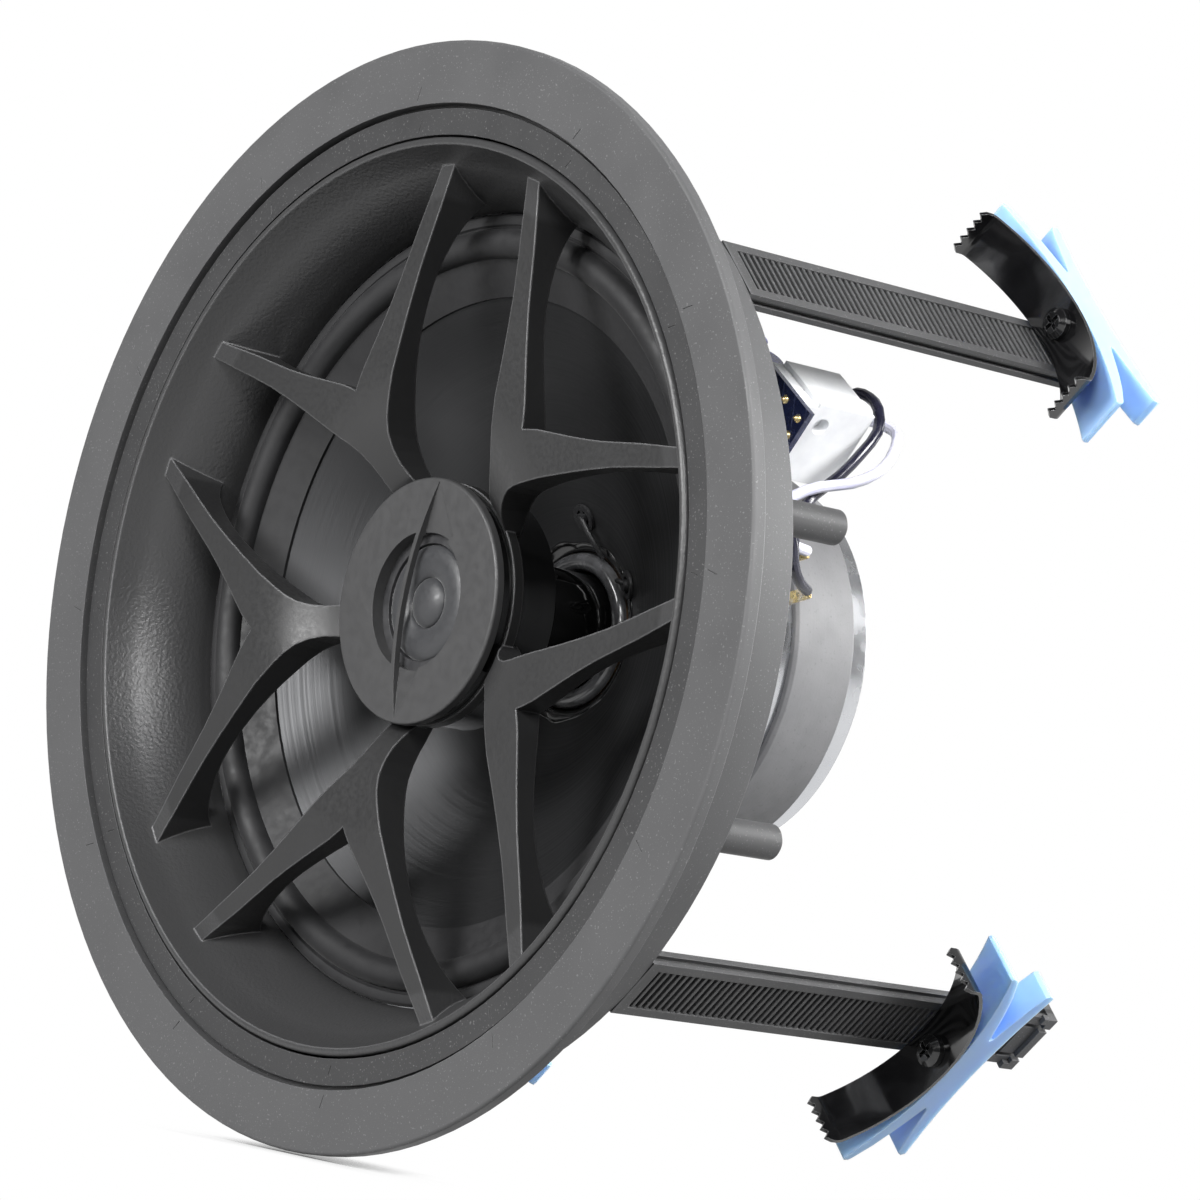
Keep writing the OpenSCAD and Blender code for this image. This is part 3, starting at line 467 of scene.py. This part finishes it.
# %% Mix the baffle's plastic
BAFFLE_BLACK = (0.024, 0.024, 0.0245)
BAFFLE_DRIFT = (0.017, 0.017, 0.0175)
DISH_GREY = (0.042, 0.042, 0.043)
HUB_BLACK = (0.006, 0.006, 0.006)
BAFFLE_WEAR_AND_HIGHLIGHT = (0.20, 0.20, 0.205)
DISH_FROM_MM = (97.5, 99.5)
HUB_RIM_MM = (31.5, 29.5)


def baffle_plastic():
    skin = Finish("baffle_plastic", BAFFLE_BLACK, 0.36)
    skin.soften(0.7)
    dish = skin.spread(skin.radius_mm(), *DISH_FROM_MM)
    hub = skin.spread(skin.radius_mm(), *HUB_RIM_MM)
    skin.tint(skin.patches(18, 0.35, 0.65), BAFFLE_DRIFT, 0.25)
    skin.tint(dish, DISH_GREY, 0.9)
    skin.tint(hub, HUB_BLACK, 0.9)
    # painted highlight and some wear along the edges of the spokes
    skin.tint(skin.edge(0.004, 0.12), BAFFLE_WEAR_AND_HIGHLIGHT, 0.85)
    glossier_dish = skin.maths("MULTIPLY", dish, 0.2)
    skin.gloss(skin.maths("SUBTRACT", skin.noise(1.1), glossier_dish), 0.34, 0.46)
    skin.relief(skin.maths("MULTIPLY", skin.noise(0.9), dish), 0.16, 0.65)
    skin.relief(skin.noise(0.35), 0.035, 0.4)
    return skin.material


print("baffle plastic: grain from", DISH_FROM_MM[0], "mm outwards")

# %% [markdown]
# ## The spun cone
#
# The cone is spun from dark metal. Its fine circular marks stretch every highlight into two
# bright wedges. Thousands of real grooves would do that too, but anisotropy round the axis
# gives the wedges from one smooth surface, and faint rings on top give the marks themselves.

# %% Mix the cone's metal
CONE_GREY = (0.040, 0.0405, 0.042)
CONE_MARK = (0.024, 0.0245, 0.0255)
CONE_BLOOM = (0.056, 0.056, 0.058)


def around_the_axis(skin, amount):
    """Stretches the highlights along circles round the speaker's axis."""
    skin.shader(Anisotropic=amount,
                Tangent=skin.node("Tangent", direction_type="RADIAL", axis="Y").outputs[0])


def spun_cone():
    skin = Finish("spun_cone", CONE_GREY, 0.40, metal=0.7)
    around_the_axis(skin, 0.72)
    marks = skin.rings(0.22)
    skin.tint(skin.spread(marks, 0.35, 0.65), CONE_MARK, 0.35)
    skin.tint(skin.patches(22, 0.4, 0.7), CONE_BLOOM, 0.2)
    skin.gloss(skin.rings(0.9), 0.34, 0.46)
    skin.relief(marks, 0.008, 0.7)
    return skin.material


print("cone metal: wedges round the axis")

# %% [markdown]
# ## Rubber of the surround
#
# The soft edge of the cone is dull black rubber, which dust makes a little uneven. Rubber
# scatters light at a grazing angle, so it has a trace of sheen, and no coat.

# %% Mix the surround's rubber
RUBBER_BLACK = (0.011, 0.011, 0.012)
RUBBER_DUST = (0.017, 0.017, 0.018)


def surround_rubber():
    skin = Finish("surround_rubber", RUBBER_BLACK, 0.58)
    skin.shader(Sheen_Weight=0.08, Sheen_Roughness=0.4)
    skin.tint(skin.patches(9, 0.4, 0.7, 4.0), RUBBER_DUST, 0.35)
    skin.gloss(skin.noise(2.5, 3.0), 0.5, 0.66)
    skin.relief(skin.noise(0.3), 0.03, 0.35)
    return skin.material


print("surround rubber: sheen, no coat")

# %% [markdown]
# ## Coated silk of the dome
#
# The dome is silk under a thin coat. Its weave is finer than a tenth of a millimetre, so it
# isn't modelled: two sets of stretched noise, across each other, break the light as threads
# do.

# %% Mix the dome's silk
SILK_GREY = (0.040, 0.041, 0.044)
SILK_THREAD_MM = 0.07
SILK_WEAVE = ((1, 0.2, 0.2), (0.2, 0.2, 1))


def coated_silk():
    skin = Finish("coated_silk", SILK_GREY, 0.42)
    skin.shader(Sheen_Weight=0.4, Sheen_Roughness=0.35)
    skin.woven(SILK_THREAD_MM, 0.02, 0.5, SILK_WEAVE)
    skin.gloss(skin.noise(1.2, 3.0), 0.32, 0.52)
    return skin.material


print("dome silk: threads of", SILK_THREAD_MM, "mm")

# %% [markdown]
# ## Polished black and the cone's neck
#
# The tweeter's housing and its post are polished black, so they show little but reflections.
# A faint long wave in the surface bends these as a real moulding does, and a few specks of
# dust keep it from looking like glass. The soft ring at the cone's neck has a wet shine over
# fine rings. The glue round it uses the polished black too, only rougher.

# %% Mix the polished black and the neck's skin
POLISHED_BLACK = (0.0035, 0.0035, 0.0036)
DUST = (0.05, 0.05, 0.05)
NECK_GREY = (0.075, 0.076, 0.08)
NECK_SHADE = (0.045, 0.045, 0.047)


def polished_black(name, rough=0.05):
    skin = Finish(name, POLISHED_BLACK, rough, coat=0.35)
    skin.gloss(skin.noise(9, 3.0), rough * 0.7, rough * 1.6)
    skin.tint(skin.patches(0.7, 0.68, 0.78, 4.0), DUST, 0.3)
    skin.relief(skin.noise(11), 0.06, 0.25)
    return skin.material


def neck_skin():
    skin = Finish("neck_skin", NECK_GREY, 0.2, coat=0.6)
    skin.relief(skin.rings(0.5), 0.02, 0.4)
    skin.gloss(skin.noise(3, 3.0), 0.14, 0.3)
    skin.tint(skin.patches(4, 0.4, 0.7), NECK_SHADE)
    return skin.material


print("polished black and neck skin are defined")

# %% [markdown]
# ## Zinc of the basket
#
# The basket and the plates are pressed and turned steel under bright zinc. It is all
# reflection, so its look comes from slightly uneven gloss, a drift in colour and faint
# turning marks round the axis. A mirror would look like chrome.

# %% Mix the zinc
ZINC = (0.62, 0.63, 0.65)
ZINC_DRIFT = (0.54, 0.55, 0.58)


def bright_zinc():
    skin = Finish("bright_zinc", ZINC, 0.24, metal=1.0)
    skin.soften(0.4)
    around_the_axis(skin, 0.35)
    skin.tint(skin.patches(9, 0.35, 0.7, 3.0), ZINC_DRIFT, 0.3)
    skin.gloss(skin.noise(6, 3.0), 0.22, 0.3)
    skin.relief(skin.rings(0.8), 0.02, 0.35)
    skin.relief(skin.noise(0.5), 0.005, 0.2)
    return skin.material


print("zinc is defined")

# %% [markdown]
# ## Ferrite of the magnet
#
# A ferrite magnet is a ground ceramic: grey, grainy and a little blotched. Its outer side
# shows grinding lines that run round it, so there the rings follow the depth and not the
# radius.

# %% Mix the ferrite
FERRITE = (0.17, 0.17, 0.175)
FERRITE_BLOTCH = (0.22, 0.22, 0.225)
FERRITE_GRAIN = (0.12, 0.12, 0.125)


def ground_ferrite():
    skin = Finish("ground_ferrite", FERRITE, 0.42)
    skin.soften(0.5)
    skin.tint(skin.patches(8, 0.35, 0.68, 5.0), FERRITE_BLOTCH, 0.4)
    skin.tint(skin.patches(0.8, 0.6, 0.72, 3.0), FERRITE_GRAIN, 0.5)
    skin.gloss(skin.noise(3, 4.0), 0.34, 0.52)
    skin.relief(skin.noise(0.5, 4.0), 0.05, 0.4)
    skin.relief(skin.rings(0.6, skin.depth_mm()), 0.03, 0.35)
    return skin.material


print("ferrite is defined")

# %% [markdown]
# ## Copper windings
#
# The coils are enamelled copper wire. A tube for each turn would cost tens of thousands of
# triangles, and single turns would be lost at this size. So wider bands along the coil raise
# and darken the surface, as layers of turns do, and a coat stands for the enamel. At a scale
# of one the wave node turns by 20 radians for each metre, so the scale is worked out from that.

# %% Mix the copper winding
COPPER = (0.58, 0.19, 0.06)
BETWEEN_BANDS = (0.30, 0.08, 0.02)
BAND_MM = math.pi
WAVE_RADIANS = 20


def copper_winding():
    skin = Finish("copper_winding", COPPER, 0.3, metal=0.85, coat=0.5)
    bands = skin.node("TexWave", bands_direction="Y", Scale=math.tau / (WAVE_RADIANS * BAND_MM * MM),
                      Vector=skin.place).outputs["Fac"]
    skin.relief(bands, 0.2, 0.8)
    skin.tint(bands, BETWEEN_BANDS, 0.4)
    skin.gloss(skin.noise(1.5), 0.22, 0.4)
    return skin.material


print("copper winding: bands", round(BAND_MM, 2), "mm apart")

# %% [markdown]
# ## Black screws and spring steel
#
# The screws have black zinc, which wears to bare metal on the edges. The bowed strips of the
# clamps are spring steel with a glossy black skin, with bright edges where they were
# stamped. A long shallow wave bends their reflections, since no thin strip is truly even.

# %% Mix the black steels
BLACK_ZINC = (0.016, 0.016, 0.017)
BARE_ZINC = (0.25, 0.25, 0.26)
SPRING_BLACK = (0.004, 0.004, 0.0045)
STAMPED_EDGE = (0.42, 0.42, 0.43)


def black_zinc():
    skin = Finish("black_zinc", BLACK_ZINC, 0.3, metal=0.7)
    skin.soften(0.25)
    skin.tint(skin.edge(), BARE_ZINC, 0.6)
    skin.gloss(skin.noise(0.8, 3.0), 0.22, 0.42)
    return skin.material


def spring_steel():
    skin = Finish("spring_steel", SPRING_BLACK, 0.13, coat=0.5)
    skin.soften(0.15)
    skin.tint(skin.edge(0.04, 0.3), STAMPED_EDGE, 0.75)
    skin.gloss(skin.noise(5, 4.0), 0.08, 0.2)
    skin.relief(skin.noise(16), 0.12, 0.25)
    skin.relief(skin.noise(0.6, 3.0), 0.01, 0.25)
    return skin.material


print("black steels are defined")

# %% [markdown]
# ## Blue nylon of the sliders
#
# Nylon lets light in and gives it back near thin edges, so the wings look brighter there.
# Plain paint would look like clay. Subsurface scattering of a few millimetres does it, with
# blue going furthest, and the edges are tinted paler as a painted highlight.

# %% Mix the nylon
NYLON_BLUE = (0.34, 0.54, 0.90)
NYLON_DRIFT = (0.42, 0.62, 0.94)
NYLON_EDGE_HIGHLIGHT = (0.72, 0.85, 0.99)


def blue_nylon():
    skin = Finish("blue_nylon", NYLON_BLUE, 0.34)
    skin.soften(0.3)
    skin.shader(Subsurface_Weight=0.45, Subsurface_Radius=(0.6, 0.8, 1.0), Subsurface_Scale=0.006)
    # painted highlight: the edges are tinted paler
    skin.tint(skin.edge(), NYLON_EDGE_HIGHLIGHT, 0.6)
    skin.tint(skin.patches(12, 0.4, 0.7, 3.0), NYLON_DRIFT, 0.3)
    skin.gloss(skin.noise(4, 3.0), 0.28, 0.42)
    skin.relief(skin.noise(0.5), 0.02, 0.3)
    return skin.material


print("nylon is defined")

# %% [markdown]
# ## The board
#
# The crossover board is navy, and its copper tracks show through the mask as narrow paler
# lines that stand up a little. Drawn tracks would be lost at this size, so the joints of a
# brick pattern stand for them.

# %% Mix the board's mask
MASK_NAVY = (0.010, 0.014, 0.045)
COPPER_UNDER_MASK = (0.05, 0.06, 0.11)


def board_mask():
    skin = Finish("board_mask", MASK_NAVY, 0.22, coat=0.4)
    tracks = skin.node("TexBrick", Scale=110.0, Mortar_Size=0.02, Vector=skin.place).outputs["Fac"]
    skin.tint(tracks, COPPER_UNDER_MASK, 0.5)
    skin.relief(tracks, 0.04, 0.5)
    skin.gloss(skin.noise(3), 0.16, 0.3)
    return skin.material


print("board mask is defined")

# %% [markdown]
# ## Small plastics
#
# The terminal block, its tabs, the sleeves of the leads and a few more are plain plastics
# that differ in colour and gloss only. One recipe with two colours serves them all: the
# second colour drifts over the first, as it does in any moulded or extruded plastic.

# %% Mix a small plastic


def smooth_plastic(name, colour, drift, rough=0.35, coat=0.0):
    skin = Finish(name, colour, rough, coat=coat)
    skin.soften(0.25)
    skin.tint(skin.patches(5, 0.35, 0.7, 4.0), drift)
    skin.gloss(skin.noise(2.5, 3.0), rough * 0.8, rough * 1.3)
    skin.relief(skin.noise(0.5), 0.02, 0.3)
    return skin.material


print("small plastics share one recipe")

# %% [markdown]
# ## Cloth, cork and braid
#
# The spider is cotton cloth dipped in resin, the gasket is cork bound with rubber, and the
# leads on the cone are braided. All three are too fine to model thread by thread. The cloth
# and the braid use crossed threads as the silk does, only coarser, and the cork uses cells.

# %% Mix cloth, cork and braid
RESIN_CLOTH = (0.42, 0.27, 0.10)
RESIN_POOL = (0.25, 0.15, 0.05)
CLOTH_WEAVE = ((1, 0.25, 0.25), (0.25, 0.25, 1))
CORK_BINDER = (0.018, 0.018, 0.018)
CORK_CRUMB = (0.045, 0.04, 0.036)
BRAID_BLACK = (0.008, 0.008, 0.009)
BRAID_WORN = (0.06, 0.06, 0.06)
BRAID_WEAVE = ((1, 1, 0.3), (0.3, 1, 1))


def dipped_cloth():
    skin = Finish("dipped_cloth", RESIN_CLOTH, 0.75)
    skin.shader(Sheen_Weight=0.3)
    skin.woven(0.12, 0.1, 0.7, CLOTH_WEAVE)
    skin.tint(skin.patches(0.6, 0.4, 0.65, 3.0), RESIN_POOL)
    skin.gloss(skin.noise(2), 0.65, 0.85)
    return skin.material


def cork_rubber():
    skin = Finish("cork_rubber", CORK_BINDER, 0.8)
    skin.tint(skin.spread(skin.cells(1.1), 0.3, 0.7), CORK_CRUMB)
    skin.relief(skin.cells(0.9), 0.1, 0.6)
    skin.gloss(skin.noise(2), 0.7, 0.9)
    return skin.material


def braided_black():
    skin = Finish("braided_black", BRAID_BLACK, 0.5)
    skin.woven(0.25, 0.1, 0.7, BRAID_WEAVE)
    skin.tint(skin.patches(0.4, 0.55, 0.7), BRAID_WORN, 0.5)
    skin.gloss(skin.noise(1), 0.4, 0.6)
    return skin.material


print("cloth, cork and braid are defined")

# %% [markdown]
# ## Tinned brass
#
# The solder tabs are brass with a skin of tin that is thin in places, so silver patches lie
# over yellow metal. The solder on the board uses the same finish.

# %% Mix the tinned brass
BRASS = (0.66, 0.52, 0.25)
TIN = (0.74, 0.74, 0.76)


def tinned_brass():
    skin = Finish("tinned_brass", BRASS, 0.28, metal=1.0)
    skin.soften(0.2)
    skin.tint(skin.patches(2.5, 0.5, 0.75, 4.0), TIN, 0.7)
    skin.gloss(skin.noise(0.9, 3.0), 0.2, 0.38)
    skin.relief(skin.noise(0.8), 0.03, 0.3)
    return skin.material


print("tinned brass is defined")

# %% [markdown]
# ## Which part gets which finish
#
# The packed record names a slot for every part. The frame, the baffle and the tweeter's face
# share one there, but they come from three moulds, so each gets its own finish here. The
# leads on the cone are braided, so they don't share the finish of the insulated wire. Making
# each finish once and sharing it keeps every screw and every clamp alike.

# %% Give every part its finish
FINISH = {
    "frame_plastic": frame_plastic(),
    "dark_screws": black_zinc(),
    "dark_trim": smooth_plastic("dark_trim", (0.032, 0.032, 0.034), (0.044, 0.044, 0.046), 0.4),
    "diaphragm": coated_silk(),
    "winding": copper_winding(),
    "plated_steel": bright_zinc(),
    "ferrite": ground_ferrite(),
    "gloss_black": polished_black("polished_black"),
    "gasket": cork_rubber(),
    "surround_rubber": surround_rubber(),
    "cone_metal": spun_cone(),
    "neck_skin": neck_skin(),
    "former": smooth_plastic("brown_former", (0.20, 0.12, 0.06), (0.14, 0.08, 0.04), 0.4),
    "spider_cloth": dipped_cloth(),
    "board": board_mask(),
    "capacitor": smooth_plastic("film_sleeve", (0.035, 0.04, 0.18), (0.05, 0.055, 0.24), 0.25, 0.5),
    "white_plastic": smooth_plastic("white_plastic", (0.90, 0.91, 0.92), (0.84, 0.85, 0.87), 0.35),
    "red_plastic": smooth_plastic("red_plastic", (0.5, 0.015, 0.015), (0.4, 0.012, 0.012), 0.3),
    "brass": tinned_brass(),
    "white_wire": smooth_plastic("white_sleeve", (0.74, 0.74, 0.86), (0.62, 0.62, 0.80), 0.3, 0.3),
    "black_wire": smooth_plastic("black_sleeve", (0.010, 0.010, 0.022), (0.018, 0.018, 0.034), 0.22, 0.3),
    "clamp_blue": blue_nylon(),
    "gloss_steel": spring_steel(),
}
OWN_FINISH = {
    "baffle": baffle_plastic(),
    "tinsel_leads": braided_black(),
    "tweeter_face": smooth_plastic("tweeter_plastic", (0.052, 0.052, 0.053), (0.046, 0.046, 0.047), 0.42),
}
slots = {row["node"]: row["material_slot"] for row in frame["record"]["subparts"]}
for name, part in nodes.items():
    part.data.materials.clear()
    part.data.materials.append(OWN_FINISH.get(name, FINISH[slots[name]]))
print("parts with a finish:", len(nodes), "finishes:", len(FINISH) + len(OWN_FINISH))

# %% [markdown]
# ## A new piece on the speaker
#
# Glue and solder aren't machined, so they are meshes made here. Each one has to move with
# the body that carries the frame, and needs a slot for its finish. These two lines could
# follow each shape by hand, but one helper makes sure that neither is forgotten.

# %% A helper for new pieces
bodies = frame["record"]["behaviour"]["bodies"]
SPEAKER_BODY = next(body for body, members in bodies.items() if "frame" in members)


def new_piece(name, shape, finish):
    """Turns a bmesh into a smooth piece that rides with the speaker's frame."""
    mesh = bpy.data.meshes.new(name)
    bmesh.ops.recalc_face_normals(shape, faces=shape.faces)
    shape.to_mesh(mesh)
    shape.free()
    mesh.polygons.foreach_set("use_smooth", [True] * len(mesh.polygons))
    mesh.materials.append(finish)
    piece = bpy.data.objects.new(name, mesh)
    bpy.context.scene.collection.objects.link(piece)
    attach(piece, SPEAKER_BODY)
    return piece


print("new pieces ride on", SPEAKER_BODY)

# %% [markdown]
# ## Glue round the cone's neck
#
# The soft ring in the middle is held by a bead of black glue that ran out unevenly over the
# cone. A torus would look machined. Here a small arch is carried round the axis along the
# cone's slope, and a few sine waves of different length make it wander and swell, which
# reads as hand laid glue. Its foot lies slightly under the cone's skin, so no gap shows.

# %% Lay the glue bead
CONE_EDGE_MM = 78.3
CONE_FRONT_MM = 27.7
CONE_SLOPE = 0.58
BEAD_AT_MM = 21.4
BEAD_HALF_MM = 1.5
BEAD_HIGH_MM = 0.55
BEAD_SUNK_MM = 0.08
BEAD_STEPS = 180
ARCH_STEPS = 8
WAVES = ((3, 0.8, 0.35), (7, 0.0, 0.25), (16, 2.0, 0.15))
DRIFT = 0.6
SWELL = 0.7
LIFT = 0.2


def round_the_axis(radius_mm, depth_mm, angle):
    """A point at a radius, a depth behind the ceiling and an angle, in metres."""
    return Vector((radius_mm * math.cos(angle), depth_mm, radius_mm * math.sin(angle))) * MM


def bead_arch(angle):
    """The points of the bead's section at one angle round the axis."""
    wander = sum(height * math.sin(count * angle + phase) for count, phase, height in WAVES)
    for k in range(ARCH_STEPS + 1):
        arch = math.pi * k / ARCH_STEPS
        radius = BEAD_AT_MM + wander * DRIFT + (BEAD_HALF_MM + wander * SWELL) * math.cos(arch)
        rise = (BEAD_HIGH_MM + LIFT * wander) * math.sin(arch) - BEAD_SUNK_MM
        depth = CONE_FRONT_MM + CONE_SLOPE * (CONE_EDGE_MM - radius) - rise
        yield round_the_axis(radius, depth, angle)


def glue_bead():
    shape = bmesh.new()
    rows = [[shape.verts.new(point) for point in bead_arch(math.tau * step / BEAD_STEPS)]
            for step in range(BEAD_STEPS)]
    for a, b in zip(rows, rows[1:] + rows[:1]):
        for k in range(ARCH_STEPS + 1):
            n = (k + 1) % (ARCH_STEPS + 1)
            shape.faces.new((a[k], a[n], b[n], b[k]))
    return shape


neck_glue = new_piece("neck_glue", glue_bead(), polished_black("wet_glue", 0.12))
print("glue bead:", len(neck_glue.data.polygons), "faces")

# %% [markdown]
# ## Solder joints on the board
#
# Every lead of a component comes through the board and ends in a small cone of solder, with
# the clipped wire in its middle. They sit on the side that faces the front, where their
# glint shows between the arms. The cone is turned from a short profile and repeated at each
# hole. A painted dot would have no glint.

# %% Solder the joints
BOARD_TURN = math.radians(54.5)
BOARD_FRONT_MM = 58.0
JOINT_STEPS = 14
JOINT_SUNK_MM = 0.05
JOINT_PROFILE_MM = ((1.25, 0.0), (1.0, 0.25), (0.62, 0.7), (0.45, 1.0), (0.42, 1.3))
JOINTS_AT_MM = [(88, 29), (83, 29), (78, 29), (73, 29), (88.6, 22), (79, 20), (88.5, 12), (74.2, 8),
                (88.3, -2), (75, -3), (88.6, -9), (81, -13.5), (84, -28.6), (70.4, -29), (70.4, -15)]


def board_point(out_mm, along_mm, depth_mm):
    """A point on the crossover board: outwards, along the rim and behind the ceiling."""
    c = math.cos(BOARD_TURN)
    s = math.sin(BOARD_TURN)
    return Vector((out_mm * c + along_mm * s, depth_mm, out_mm * s - along_mm * c)) * MM


def joint_ring(out_mm, along_mm, radius_mm, height_mm):
    """The points of one ring of a joint, at a height in front of the board."""
    for k in range(JOINT_STEPS):
        angle = math.tau * k / JOINT_STEPS
        yield board_point(out_mm + radius_mm * math.cos(angle), along_mm + radius_mm * math.sin(angle),
                          BOARD_FRONT_MM + JOINT_SUNK_MM - height_mm)


def solder_joints():
    shape = bmesh.new()
    for out_mm, along_mm in JOINTS_AT_MM:
        rings = [[shape.verts.new(point) for point in joint_ring(out_mm, along_mm, radius_mm, height_mm)]
                 for radius_mm, height_mm in JOINT_PROFILE_MM]
        for low, high in zip(rings, rings[1:]):
            for k in range(JOINT_STEPS):
                n = (k + 1) % JOINT_STEPS
                shape.faces.new((low[k], low[n], high[n], high[k]))
        shape.faces.new(rings[0])
        shape.faces.new(rings[-1])
    return shape


joints = new_piece("solder_joints", solder_joints(), FINISH["brass"])
print("solder joints:", len(JOINTS_AT_MM), "faces:", len(joints.data.polygons))

# %% [markdown]
# ## The end
#
# The looks must not change the speaker's size.
